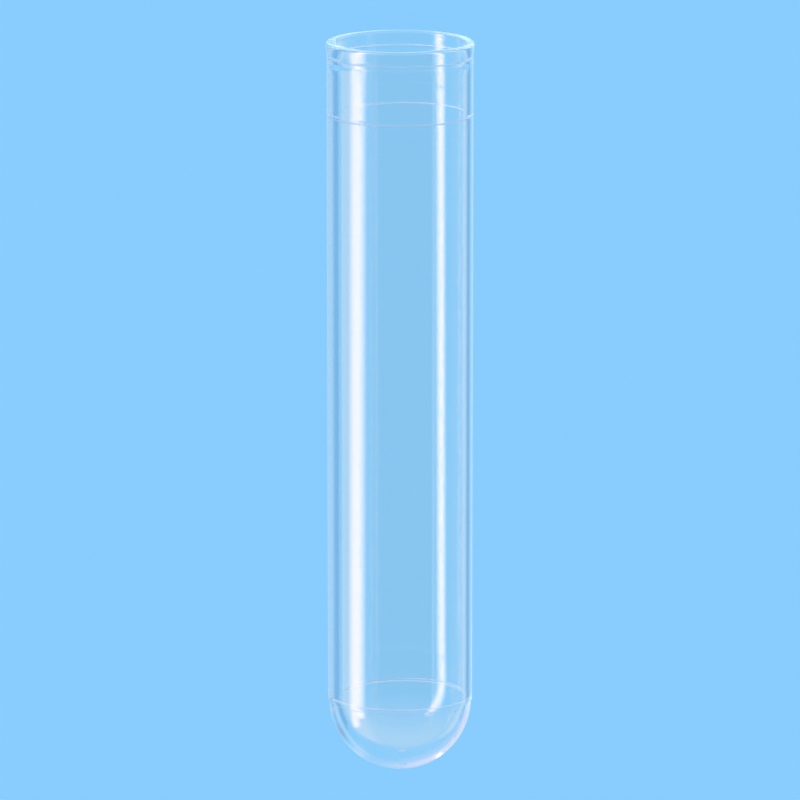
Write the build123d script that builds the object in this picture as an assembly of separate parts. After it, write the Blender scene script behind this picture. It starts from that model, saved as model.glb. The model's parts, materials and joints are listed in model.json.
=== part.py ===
from build123d import *
import math
import os

# A clear plastic test tube with a round bottom: one injection moulding, open at the top.
# The outside is a solid of revolution about Z, with its tip at the origin and its mouth at the top.
# The bore's axis stands a little to the +X side of Z, because the core of the mould leans that way.
# Fine rings on the outside, where pieces of the mould meet, divide the moulding into four sections.
# Each section is one sub-part, and neighbouring sections meet face to face.
# Lengths are in millimetres.

# Outside
overall_length = 75.0
body_radius = 7.35
rim_radius = 7.45
rim_outer_rounding = 0.34
dome_radius = 7.22

# Inside
bore_radius = 6.5
rim_inner_rounding = 0.35
core_shift = 0.22
floor_thickness = 1.25

# Mould rings: A and B are measured down from the mouth, C up from the tip
ring_a_below_mouth = 1.55
ring_b_below_mouth = 7.3
ring_c_height = 7.4
ring_c_chamfer = 0.05

# Witness beads, fine raised lines where two pieces of the mould met
bead_height = 0.03
bead_half_width = 0.07
second_bead_height = 0.015
second_bead_below_ring_a = 0.29
tip_bead_height = 0.02
tip_bead_half_width = 0.045

# Gate mark, the stub left at the tip where the plastic came in
gate_height = 0.1
gate_tip_radius = 0.33
gate_root_radius = 0.45

# Heights that follow from the sizes above
ring_a_height = overall_length - ring_a_below_mouth
ring_b_height = overall_length - ring_b_below_mouth
second_bead_z = ring_a_height - second_bead_below_ring_a
dome_centre_height = gate_height + dome_radius
core_tip_centre_height = floor_thickness + bore_radius

QUARTER_TURN = 90


def bead(wall_radius, middle, height, half_width):
    """The outline of a witness bead on a straight wall. A negative height faces the axis."""
    return ThreePointArc(
        (wall_radius, middle - half_width),
        (wall_radius + height, middle),
        (wall_radius, middle + half_width),
    )


def solid_of_revolution(outline):
    """The solid that a closed outline in the half-plane +X, Z sweeps out about Z."""
    edges = [edge for stretch in outline for edge in stretch.edges()]
    return revolve(Plane.XZ * make_face(edges), Axis.Z)


def outside():
    """Everything within the tube's outer surface, as if it had no bore."""
    gate_angle = math.degrees(math.asin(gate_root_radius / dome_radius))
    dome = CenterArc(
        (0, dome_centre_height), dome_radius, gate_angle - QUARTER_TURN, QUARTER_TURN - gate_angle
    )
    gate = Polyline((0, 0), (gate_tip_radius, 0), dome @ 0)
    ring_b = bead(body_radius, ring_b_height - bead_half_width, bead_height, bead_half_width)
    second_bead = bead(body_radius, second_bead_z, second_bead_height, bead_half_width)
    ring_a = bead(body_radius, ring_a_height + bead_half_width, bead_height, bead_half_width)
    ring_c = Polyline(
        dome @ 1,
        (dome_radius, ring_c_height),
        (body_radius - ring_c_chamfer, ring_c_height),
        (body_radius, ring_c_height + ring_c_chamfer),
        ring_b @ 0,
    )
    neck = Line(ring_b @ 1, second_bead @ 0)
    neck_top = Line(second_bead @ 1, ring_a @ 0)
    rounding = CenterArc(
        (rim_radius - rim_outer_rounding, overall_length - rim_outer_rounding),
        rim_outer_rounding,
        0,
        QUARTER_TURN,
    )
    lip = Line(ring_a @ 1, rounding @ 0)
    mouth = Polyline(rounding @ 1, (0, overall_length), (0, 0))
    return solid_of_revolution(
        [gate, dome, ring_c, ring_b, neck, second_bead, neck_top, ring_a, lip, rounding, mouth]
    )


def bore():
    """The space that the core of the mould leaves, with a round end and a rounded mouth."""
    tip = CenterArc((0, core_tip_centre_height), bore_radius, -QUARTER_TURN, QUARTER_TURN)
    tip_bead = bead(
        bore_radius, core_tip_centre_height + tip_bead_half_width, -tip_bead_height, tip_bead_half_width
    )
    rounding = CenterArc(
        (bore_radius + rim_inner_rounding, overall_length - rim_inner_rounding),
        rim_inner_rounding,
        QUARTER_TURN,
        QUARTER_TURN,
    )
    wall = Line(tip_bead @ 1, rounding @ 1)
    mouth = Polyline(rounding @ 0, (0, overall_length), tip @ 0)
    return Pos(core_shift, 0, 0) * solid_of_revolution([tip, tip_bead, wall, rounding, mouth])


def section(low, high):
    """The part of the tube between two heights, as one solid."""
    width = 4 * rim_radius
    slab = Pos(0, 0, low) * Box(width, width, high - low, align=(Align.CENTER, Align.CENTER, Align.MIN))
    return ((outside() - bore()) & slab).solid()


def rim_lip():
    """The slightly flared lip, from ring A to the mouth, with both edges rounded."""
    return section(ring_a_height, overall_length)


def neck_band():
    """The band under the lip, from ring B to ring A."""
    return section(ring_b_height, ring_a_height)


def barrel():
    """The long straight wall, from ring C to ring B."""
    return section(ring_c_height, ring_b_height)


def round_bottom():
    """The round end, from the gate mark at the tip to ring C."""
    return section(0, ring_c_height)


os.makedirs("parts", exist_ok=True)
for make in (rim_lip, neck_band, barrel, round_bottom):
    export_step(make(), f"parts/{make.__name__}.step")
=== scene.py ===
import json
import math

import bpy
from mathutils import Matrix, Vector

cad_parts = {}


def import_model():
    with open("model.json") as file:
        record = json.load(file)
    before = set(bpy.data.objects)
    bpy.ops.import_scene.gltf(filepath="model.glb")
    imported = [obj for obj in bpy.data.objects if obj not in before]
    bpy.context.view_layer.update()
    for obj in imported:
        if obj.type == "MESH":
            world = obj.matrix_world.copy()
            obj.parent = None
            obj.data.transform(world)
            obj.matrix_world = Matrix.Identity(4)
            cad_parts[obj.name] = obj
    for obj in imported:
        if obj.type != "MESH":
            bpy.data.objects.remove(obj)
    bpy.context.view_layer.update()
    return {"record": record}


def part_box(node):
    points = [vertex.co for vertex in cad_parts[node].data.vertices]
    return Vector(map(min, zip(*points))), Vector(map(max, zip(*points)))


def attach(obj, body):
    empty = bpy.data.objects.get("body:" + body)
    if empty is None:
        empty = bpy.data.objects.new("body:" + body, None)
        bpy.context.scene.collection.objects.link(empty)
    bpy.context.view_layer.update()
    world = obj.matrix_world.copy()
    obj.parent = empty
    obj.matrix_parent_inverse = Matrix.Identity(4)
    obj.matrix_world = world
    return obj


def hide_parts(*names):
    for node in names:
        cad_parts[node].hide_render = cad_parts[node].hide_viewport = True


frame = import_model()

# ---------------------------------------------------------------------------
# Sizes, in metres. The large ones come from the frame, the fine ones are named here.
# ---------------------------------------------------------------------------

MILLIMETRE = 0.001

mounts = {mount["name"]: mount for mount in frame["record"]["mounts"]}
mouth_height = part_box("rim_lip")[1].z
ring_a_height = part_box("rim_lip")[0].z
ring_b_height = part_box("neck_band")[0].z
ring_c_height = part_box("barrel")[0].z
rim_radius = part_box("rim_lip")[1].x
dome_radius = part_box("round_bottom")[1].x
body_radius = mounts["rack_barrel"]["dims"]["r_mm"] * MILLIMETRE
bore_radius = mounts["mouth_bore"]["dims"]["r_mm"] * MILLIMETRE
core_shift = mounts["mouth_bore"]["pos_m"][0]

# Fine detail of the moulding
rim_outer_rounding = 0.34 * MILLIMETRE
rim_inner_rounding = 0.35 * MILLIMETRE
ring_c_chamfer = 0.05 * MILLIMETRE
bead_height = 0.03 * MILLIMETRE
bead_half_width = 0.07 * MILLIMETRE
second_bead_height = 0.015 * MILLIMETRE
second_bead_below_ring_a = 0.29 * MILLIMETRE
tip_bead_height = 0.02 * MILLIMETRE
tip_bead_half_width = 0.045 * MILLIMETRE
gate_height = 0.1 * MILLIMETRE
gate_tip_radius = 0.33 * MILLIMETRE
gate_root_radius = 0.45 * MILLIMETRE
floor_thickness = 1.25 * MILLIMETRE

dome_centre_height = gate_height + dome_radius
core_tip_centre_height = floor_thickness + bore_radius
second_bead_z = ring_a_height - second_bead_below_ring_a
ring_c_sink = math.asin((core_tip_centre_height - ring_c_height) / bore_radius)

# Mesh density
POINTS_ROUND = 360
ROUNDING_STEPS = 8
BEAD_STEPS = 6
TIP_STEPS = 3
DOME_STEPS = 72
WALL_STEP = 1.0 * MILLIMETRE
SHARP_ANGLE = math.radians(28)
QUARTER_TURN = math.pi / 2

# Finishes of a surface, in the order of the materials
GLOSSY, SEAM, FROSTED = 0, 1, 2


# ---------------------------------------------------------------------------
# Mesh building. A path is a list of (radius, height) points, and every point is swept into a level loop.
# ---------------------------------------------------------------------------


def arc(centre_radius, centre_height, radius, start, end, steps):
    """Points along part of a circle in the (radius, height) plane, ends included."""
    points = []
    for i in range(steps + 1):
        angle = start + (end - start) * i / steps
        points.append((centre_radius + radius * math.cos(angle), centre_height + radius * math.sin(angle)))
    return points


def straight(start, end):
    """Points along a straight line, about a wall step apart, ends included."""
    length = math.hypot(end[0] - start[0], end[1] - start[1])
    steps = max(1, round(length / WALL_STEP))
    return [
        (start[0] + (end[0] - start[0]) * i / steps, start[1] + (end[1] - start[1]) * i / steps)
        for i in range(steps + 1)
    ]


def bead(wall_radius, middle, height, half_width):
    """A witness bead on a straight wall, from its lower foot up. A negative height faces the axis."""
    tall = abs(height)
    setback = (half_width**2 - tall**2) / (2 * tall)
    half_angle = math.atan2(half_width, setback)
    side = math.copysign(1, height)
    return [
        (wall_radius + side * (out - setback), middle + up)
        for out, up in arc(0, 0, setback + tall, -half_angle, half_angle, BEAD_STEPS)
    ]


def run(*stretches, join=SEAM):
    """One wall from stretches of (finish, points), each starting where the one before it ended. Every point
    of a wall is (radius, height, finish of the faces that lead to it). The join leads to the first one."""
    wall = []
    for finish, points in stretches:
        wall += [(*point, finish) for point in (points[1:] if wall else points)]
    wall[0] = (*wall[0][:2], join)
    return wall


def swept(name, walls, closed):
    """A piece from (wall, axis_x) pairs swept round their axes. Faces join one wall to the next, and a
    hidden seam the last to the first if closed. If not, the first and last points are poles on the axis."""
    vertices, loops, finishes = [], [], []
    for wall, axis_x in walls:
        for radius, height, finish in wall:
            finishes.append(finish)
            first = len(vertices)
            around = POINTS_ROUND if radius else 1
            for i in range(around):
                angle = 2 * math.pi * i / POINTS_ROUND
                vertices.append((axis_x + radius * math.cos(angle), radius * math.sin(angle), height))
            loops.append(list(range(first, first + around)))
    if closed:
        loops.append(loops[0])
        finishes.append(SEAM)

    faces, slots = [], []
    for low, high, finish in zip(loops, loops[1:], finishes[1:]):
        for i in range(POINTS_ROUND):
            j = (i + 1) % POINTS_ROUND
            if len(low) == 1:
                faces.append((low[0], high[j], high[i]))
            elif len(high) == 1:
                faces.append((low[i], low[j], high[0]))
            else:
                faces.append((low[i], low[j], high[j], high[i]))
            slots.append(finish)

    mesh = bpy.data.meshes.new(name)
    mesh.from_pydata(vertices, [], faces)
    for material in materials:
        mesh.materials.append(material)
    mesh.polygons.foreach_set("material_index", slots)
    mesh.polygons.foreach_set("use_smooth", [finish != SEAM for finish in slots])
    mesh.set_sharp_from_angle(angle=SHARP_ANGLE)
    mesh.validate()
    piece = bpy.data.objects.new(name, mesh)
    bpy.context.scene.collection.objects.link(piece)
    return piece


# ---------------------------------------------------------------------------
# The four sections of the moulding: the wall of the outside and the wall of the inside
# ---------------------------------------------------------------------------


def rim_lip_walls():
    """Out over the bead at ring A, up the flared lip, over the mouth and down the bore."""
    ring_a = bead(body_radius, ring_a_height + bead_half_width, bead_height, bead_half_width)
    outer_rounding = arc(
        rim_radius - rim_outer_rounding, mouth_height - rim_outer_rounding,
        rim_outer_rounding, 0, QUARTER_TURN, ROUNDING_STEPS,
    )
    flare = straight(ring_a[-1], outer_rounding[0])
    inner_rounding = arc(
        bore_radius + rim_inner_rounding, mouth_height - rim_inner_rounding,
        rim_inner_rounding, QUARTER_TURN, 2 * QUARTER_TURN, ROUNDING_STEPS,
    )
    bore_wall = straight(inner_rounding[-1], (bore_radius, ring_a_height))
    return (
        run((FROSTED, ring_a), (GLOSSY, flare), (GLOSSY, outer_rounding)),
        run((GLOSSY, inner_rounding), (GLOSSY, bore_wall), join=GLOSSY),
    )


def neck_band_walls():
    """Up the outside from ring B, over the second bead, and down the bore."""
    second_bead = bead(body_radius, second_bead_z, second_bead_height, bead_half_width)
    below = straight((body_radius, ring_b_height), second_bead[0])
    above = straight(second_bead[-1], (body_radius, ring_a_height))
    bore_wall = straight((bore_radius, ring_a_height), (bore_radius, ring_b_height))
    return run((GLOSSY, below), (GLOSSY, second_bead), (GLOSSY, above)), run((GLOSSY, bore_wall))


def core_tip(start, end, steps):
    """Part of the round end of the bore, between two angles below the level of its centre."""
    return arc(0, core_tip_centre_height, bore_radius, -start, -end, steps)


def barrel_walls():
    """Out over the ledge at ring C, up the outside to ring B, and down the bore over the bead at its tip."""
    ring_b = bead(body_radius, ring_b_height - bead_half_width, bead_height, bead_half_width)
    ledge = [
        (dome_radius, ring_c_height),
        (body_radius - ring_c_chamfer, ring_c_height),
        (body_radius, ring_c_height + ring_c_chamfer),
    ]
    wall = straight(ledge[-1], ring_b[0])
    tip_bead_z = core_tip_centre_height + tip_bead_half_width
    tip_bead = bead(bore_radius, tip_bead_z, -tip_bead_height, tip_bead_half_width)[::-1]
    bore_wall = straight((bore_radius, ring_b_height), tip_bead[0])
    tip = core_tip(0, ring_c_sink, TIP_STEPS)
    return (
        run((FROSTED, ledge), (GLOSSY, wall), (FROSTED, ring_b)),
        run((GLOSSY, bore_wall), (FROSTED, tip_bead), (GLOSSY, tip)),
    )


def round_bottom_walls():
    """Out over the gate mark, up the round outside to ring C, and down the round floor to its pole."""
    gate_angle = math.asin(gate_root_radius / dome_radius)
    dome = arc(0, dome_centre_height, dome_radius, gate_angle - QUARTER_TURN, 0, DOME_STEPS)
    gate = [(0, 0), (gate_tip_radius, 0), dome[0]]
    skirt = [dome[-1], (dome_radius, ring_c_height)]
    floor_of_bore = core_tip(ring_c_sink, QUARTER_TURN, DOME_STEPS)
    floor_of_bore[-1] = (0, floor_thickness)
    return run((FROSTED, gate), (GLOSSY, dome), (GLOSSY, skirt)), run((GLOSSY, floor_of_bore))


# ---------------------------------------------------------------------------
# Materials
# ---------------------------------------------------------------------------

STYRENE_IOR = 1.59
PLASTIC_COLOUR = (1.0, 0.995, 0.98)
GLOSS = (0.02, 0.06)
# Variations in gloss per metre: fine round the tube and long down it, like draw lines
DRAW_LINES = (900, 900, 25)
DRAW_LINE_DETAIL = 3.0

FROST_COLOUR = (0.80, 0.81, 0.84)
FROST_ROUGHNESS = 0.4
FROST_CLARITY = 0.3

BOUNCES = 96
# Painted glow: the fixed pale blue that the plastic emits at the last bounce, in place of light still
# trapped in the wall
PAINTED_TRAPPED_GLOW = (0.48, 0.71, 0.92)


def new_material(name):
    """A material with its node tree's nodes and links."""
    material = bpy.data.materials.new(name)
    material.use_nodes = True
    return material, material.node_tree.nodes, material.node_tree.links


def clear_plastic():
    """Clear and nearly colourless polystyrene, glossy as moulded, with faint draw lines along the tube, and
    a painted pale blue glow where light is still trapped in the wall at the last bounce.
    """
    material, nodes, links = new_material("clear_polystyrene")
    shader = nodes["Principled BSDF"]
    shader.inputs["Base Color"].default_value = (*PLASTIC_COLOUR, 1)
    shader.inputs["IOR"].default_value = STYRENE_IOR
    shader.inputs["Transmission Weight"].default_value = 1.0

    place = nodes.new("ShaderNodeTexCoord")
    stretch = nodes.new("ShaderNodeMapping")
    stretch.inputs["Scale"].default_value = DRAW_LINES
    noise = nodes.new("ShaderNodeTexNoise")
    noise.inputs["Scale"].default_value = 1.0
    noise.inputs["Detail"].default_value = DRAW_LINE_DETAIL
    gloss = nodes.new("ShaderNodeMapRange")
    gloss.inputs["To Min"].default_value, gloss.inputs["To Max"].default_value = GLOSS
    links.new(place.outputs["Object"], stretch.inputs["Vector"])
    links.new(stretch.outputs["Vector"], noise.inputs["Vector"])
    links.new(noise.outputs["Fac"], gloss.inputs["Value"])
    links.new(gloss.outputs["Result"], shader.inputs["Roughness"])

    # Painted glow: light still trapped in the wall at the last bounce is replaced by a fixed pale blue that
    # the plastic emits, where it would otherwise end in black
    path = nodes.new("ShaderNodeLightPath")
    late = nodes.new("ShaderNodeMath")
    late.operation = "GREATER_THAN"
    late.inputs[1].default_value = BOUNCES - 0.5
    shader.inputs["Emission Color"].default_value = (*PAINTED_TRAPPED_GLOW, 1)
    links.new(path.outputs["Ray Depth"], late.inputs[0])
    links.new(late.outputs["Value"], shader.inputs["Emission Strength"])
    material.cycles.emission_sampling = "NONE"
    return material


def frosted_line():
    """The witness lines and the gate mark, rough where pieces of the mould met or the plastic was torn."""
    material, nodes, _ = new_material("frosted_polystyrene")
    shader = nodes["Principled BSDF"]
    shader.inputs["Base Color"].default_value = (*FROST_COLOUR, 1)
    shader.inputs["Roughness"].default_value = FROST_ROUGHNESS
    shader.inputs["IOR"].default_value = STYRENE_IOR
    shader.inputs["Transmission Weight"].default_value = FROST_CLARITY
    return material


def seam_plane():
    """The faces where two sections meet inside the plastic: there is nothing there to see."""
    material, nodes, links = new_material("inside_of_the_plastic")
    nodes.remove(nodes["Principled BSDF"])
    clear = nodes.new("ShaderNodeBsdfTransparent")
    links.new(clear.outputs["BSDF"], nodes["Material Output"].inputs["Surface"])
    return material


# ---------------------------------------------------------------------------
# The pieces
# ---------------------------------------------------------------------------

materials = [clear_plastic(), seam_plane(), frosted_line()]


def make_section(node, walls, closed=True):
    """One section of the moulding, in the place of its CAD node."""
    outside, inside = walls
    piece = swept(node + "_clear", [(outside, 0), (inside, core_shift)], closed)
    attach(piece, "root")
    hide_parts(node)


make_section("neck_band", neck_band_walls())
make_section("barrel", barrel_walls())
make_section("round_bottom", round_bottom_walls(), closed=False)
make_section("rim_lip", rim_lip_walls())


# ---------------------------------------------------------------------------
# Floor, lights, camera
# ---------------------------------------------------------------------------

BACKDROP = (0.246, 0.610, 0.982)
FLOOR_DROP = 0.30
FLOOR_SIZE = 60.0
# The sky's colour high up
SKY = (0.80, 0.78, 0.985)
# The sine of the elevation where the sky starts to turn that colour and where it has all turned
SWEEP_START = 0.05
SWEEP_END = 0.6

CARD_DISTANCE = 0.4
# Heights of the cards' feet and tops: the wide ones start just over the floor
CARD_FOOT = -0.28
WIDE_FOOT = -0.29
EDGE_TOP = 0.08
STRIP_TOP = 0.33
# How much of a card's width or height is faded, on each side
SOFT, FIRM, CRISP = 0.5, 0.3, 0.1

LENS = 315
SENSOR_WIDTH = 36
CLIP = (0.05, 100)
CAMERA_ELEVATION = math.radians(12.1)
CAMERA_DISTANCE = 0.7065
AIM_BELOW_MOUTH = 36.65 * MILLIMETRE


def plane(name, corners):
    """A flat sheet of the stage, with its first edge at V = 0 and its third at V = 1."""
    mesh = bpy.data.meshes.new(name)
    mesh.from_pydata(corners, [], [(0, 1, 2, 3)])
    layer = mesh.uv_layers.new(name="UVMap")
    for loop, uv in zip(layer.data, ((0, 0), (1, 0), (1, 1), (0, 1))):
        loop.uv = uv
    piece = bpy.data.objects.new(name, mesh)
    bpy.context.scene.collection.objects.link(piece)
    return piece


def floor():
    """A plain floor. Its albedo is such that it shows the backdrop's colour under the light of the sky."""
    # The sky's share of the light on the floor, the rest being the backdrop's colour: the smooth step
    # between them times twice the sine of the elevation, summed over that sine from 0 to 1. A smooth step's
    # own area is 1/2 and its first moment is 7/20.
    rise = SWEEP_END - SWEEP_START
    share = 1 - SWEEP_END**2 + 2 * rise * (SWEEP_START / 2 + rise * 7 / 20)
    albedo = [shown / (shown * (1 - share) + high * share) for shown, high in zip(BACKDROP, SKY)]
    half = FLOOR_SIZE / 2
    z = -FLOOR_DROP
    sheet = plane("floor", [(-half, -half, z), (half, -half, z), (half, half, z), (-half, half, z)])
    material, nodes, _ = new_material("pale_floor")
    shader = nodes["Principled BSDF"]
    shader.inputs["Base Color"].default_value = (*albedo, 1)
    shader.inputs["Roughness"].default_value = 1.0
    shader.inputs["Specular IOR Level"].default_value = 0.0
    sheet.data.materials.append(material)


def card(name, azimuths, half_angle, low, high, colour, soft):
    """A light or a flag that stands round the tube, and that the tube alone sees. Azimuths are of its foot
    and its top, in degrees, 0 at the camera and positive to its right. Soft is how much of its width and of
    its height is faded."""
    half_width = CARD_DISTANCE * math.tan(math.radians(half_angle))
    corners = []
    for azimuth, height, sides in ((azimuths[0], low, (-1, 1)), (azimuths[1], high, (1, -1))):
        turn = math.radians(azimuth)
        centre = Vector((math.sin(turn), -math.cos(turn))) * CARD_DISTANCE
        across = Vector((math.cos(turn), math.sin(turn))) * half_width
        corners += [(*(centre + across * side), height) for side in sides]

    sheet = plane(name, corners)
    material, nodes, links = new_material(name)
    nodes.remove(nodes["Principled BSDF"])
    glow = nodes.new("ShaderNodeEmission")
    glow.inputs["Color"].default_value = (*colour, 1)
    place = nodes.new("ShaderNodeUVMap")
    split = nodes.new("ShaderNodeSeparateXYZ")
    links.new(place.outputs["UV"], split.inputs["Vector"])
    middle = 0.5
    fades = []
    for axis, width in zip("XY", soft):
        # Off is the distance from the middle, and it is 0.5 at both edges
        off = nodes.new("ShaderNodeMath")
        off.operation = "SUBTRACT"
        off.inputs[1].default_value = middle
        away = nodes.new("ShaderNodeMath")
        away.operation = "ABSOLUTE"
        fade = nodes.new("ShaderNodeMapRange")
        fade.interpolation_type = "SMOOTHSTEP"
        fade.inputs["From Min"].default_value = middle
        fade.inputs["From Max"].default_value = middle - width
        links.new(split.outputs[axis], off.inputs[0])
        links.new(off.outputs["Value"], away.inputs[0])
        links.new(away.outputs["Value"], fade.inputs["Value"])
        fades.append(fade)
    cover = nodes.new("ShaderNodeMath")
    cover.operation = "MULTIPLY"
    links.new(fades[0].outputs["Result"], cover.inputs[0])
    links.new(fades[1].outputs["Result"], cover.inputs[1])
    clear = nodes.new("ShaderNodeBsdfTransparent")
    mix = nodes.new("ShaderNodeMixShader")
    links.new(cover.outputs["Value"], mix.inputs["Fac"])
    links.new(clear.outputs["BSDF"], mix.inputs[1])
    links.new(glow.outputs["Emission"], mix.inputs[2])
    links.new(mix.outputs["Shader"], nodes["Material Output"].inputs["Surface"])
    sheet.data.materials.append(material)
    sheet.visible_camera = False
    sheet.visible_diffuse = False
    sheet.visible_shadow = False


def world():
    """A sky of the backdrop's colour at the horizon that climbs to a pale lilac."""
    sky = bpy.data.worlds.new("studio")
    bpy.context.scene.world = sky
    sky.use_nodes = True
    nodes, links = sky.node_tree.nodes, sky.node_tree.links
    place = nodes.new("ShaderNodeTexCoord")
    split = nodes.new("ShaderNodeSeparateXYZ")
    climb = nodes.new("ShaderNodeMapRange")
    climb.interpolation_type = "SMOOTHSTEP"
    climb.inputs["From Min"].default_value = SWEEP_START
    climb.inputs["From Max"].default_value = SWEEP_END
    blend = nodes.new("ShaderNodeMix")
    blend.data_type = "RGBA"
    blend.inputs["A"].default_value = (*BACKDROP, 1)
    blend.inputs["B"].default_value = (*SKY, 1)
    links.new(place.outputs["Generated"], split.inputs["Vector"])
    links.new(split.outputs["Z"], climb.inputs["Value"])
    links.new(climb.outputs["Result"], blend.inputs["Factor"])
    links.new(blend.outputs["Result"], nodes["Background"].inputs["Color"])


def camera():
    """The view from the front and a little above."""
    lens_data = bpy.data.cameras.new("camera")
    lens_data.lens = LENS
    lens_data.sensor_width = SENSOR_WIDTH
    lens_data.clip_start, lens_data.clip_end = CLIP
    view = bpy.data.objects.new("camera", lens_data)
    bpy.context.scene.collection.objects.link(view)
    aim = Vector((0, 0, mouth_height - AIM_BELOW_MOUTH))
    back = Vector((0, -math.cos(CAMERA_ELEVATION), math.sin(CAMERA_ELEVATION)))
    view.location = aim + back * CAMERA_DISTANCE
    view.rotation_mode = "QUATERNION"
    view.rotation_quaternion = (-back).to_track_quat("-Z", "Y")
    bpy.context.scene.camera = view


floor()
world()
card("key_left", (-84.5, -63.5), 14, WIDE_FOOT, STRIP_TOP, (7.9, 4.9, 4.4), (SOFT, CRISP))
card("edge_left", (-161, -161), 13, CARD_FOOT, EDGE_TOP, (0.50, 0.72, 0.95), (0.35, CRISP))
card("edge_right", (163, 163), 11, CARD_FOOT, EDGE_TOP, (0.60, 0.78, 0.95), (SOFT, CRISP))
card("flag_left", (-138, -138), 11, CARD_FOOT, EDGE_TOP, (0.17, 0.42, 0.75), (FIRM, CRISP))
card("flag_right", (138, 138), 11, CARD_FOOT, EDGE_TOP, (0.20, 0.44, 0.74), (FIRM, CRISP))
card("front_low", (0, 0), 60, WIDE_FOOT, 0.10, (0.24, 0.38, 0.56), (CRISP, CRISP))
card("strip_right", (53, 53), 3.5, CARD_FOOT, STRIP_TOP, (1.2, 1.0, 0.8), (SOFT, CRISP))
card("strip_far_right", (94, 94), 10, CARD_FOOT, STRIP_TOP, (0.6, 0.65, 0.7), (SOFT, CRISP))
card("back_low", (180, 180), 50, -0.295, -0.13, (0.34, 0.65, 0.94), (0.15, 0.4))
camera()

scene = bpy.context.scene
scene.view_settings.view_transform = "Standard"
scene.cycles.max_bounces = BOUNCES
scene.cycles.transmission_bounces = BOUNCES
scene.cycles.glossy_bounces = BOUNCES
scene.cycles.transparent_max_bounces = BOUNCES
scene.cycles.use_denoising = True
scene.cycles.blur_glossy = 0
